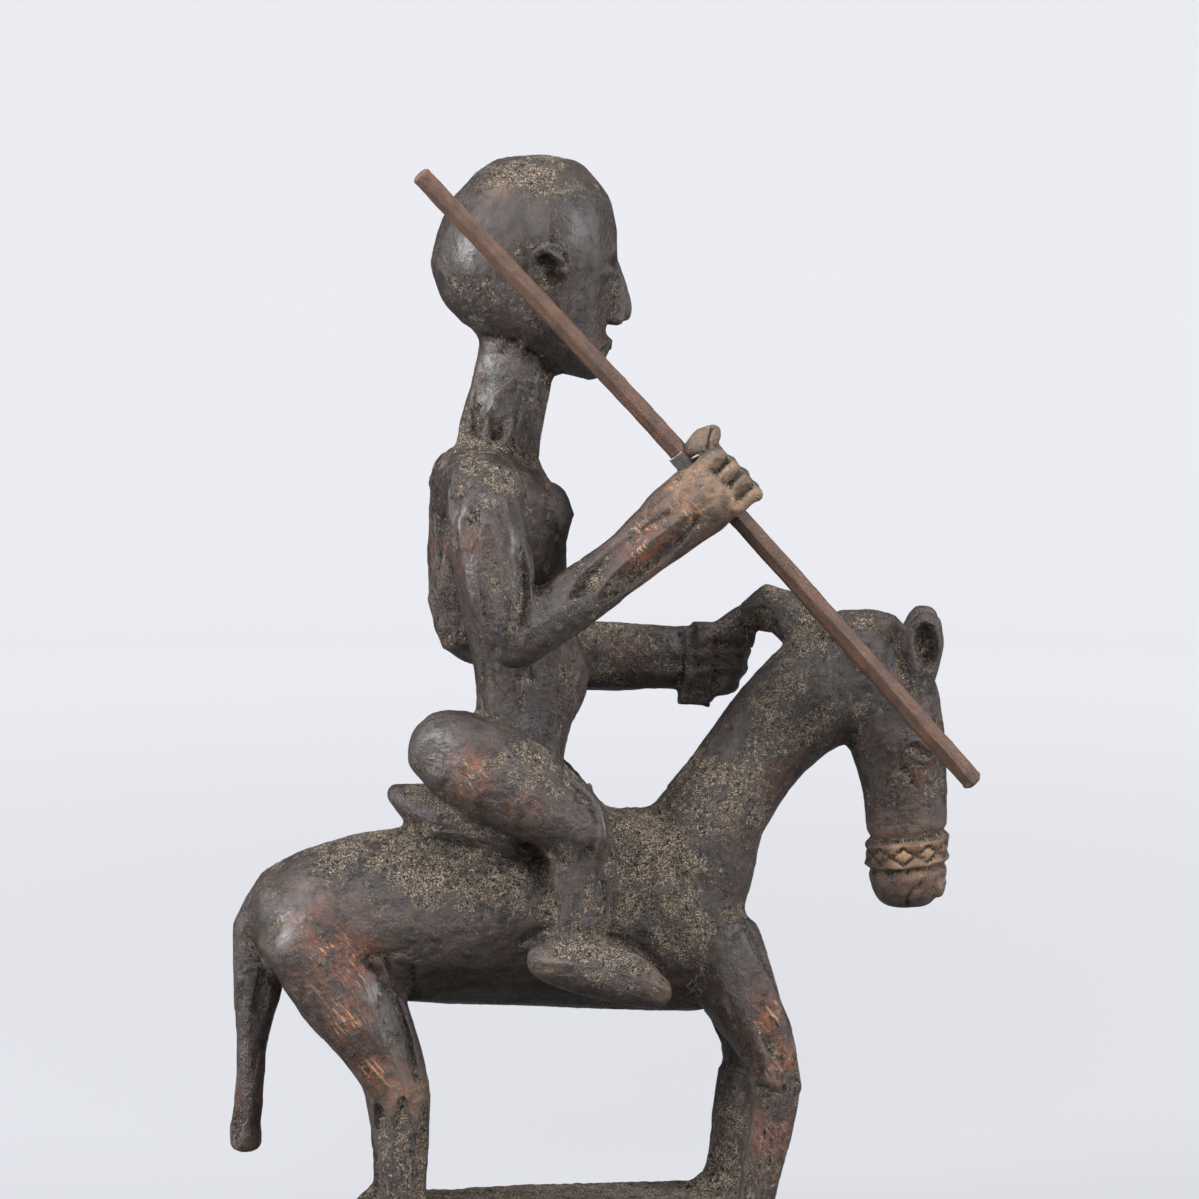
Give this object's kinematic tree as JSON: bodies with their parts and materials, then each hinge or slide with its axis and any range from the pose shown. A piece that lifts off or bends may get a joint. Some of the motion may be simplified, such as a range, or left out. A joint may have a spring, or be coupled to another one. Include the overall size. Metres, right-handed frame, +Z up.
{
  "type": "carved wooden rider on horseback",
  "caption": "Carved dark wooden figure of a seated rider on a long-necked horse, on a low oval base, with a loose staff held through one fist.",
  "frame": {"origin": "middle of the underside of the base", "axes": "+X towards the horse's nose, +Y to the rider's left, +Z up"},
  "size_m": [0.3367, 0.1228, 0.51],
  "materials": {
    "carved_wood": "dark aged wood, dusty in the hollows and rubbed to a dull gloss on the high parts",
    "staff_wood": "medium brown shaved stick, dull",
    "hide_strip": "dark dry hide with pale cut edges"
  },
  "bodies": {
    "root": {"horse_and_rider": "carved_wood", "staff": "staff_wood", "staff_packing_strip": "hide_strip"}
  },
  "joints": []
}
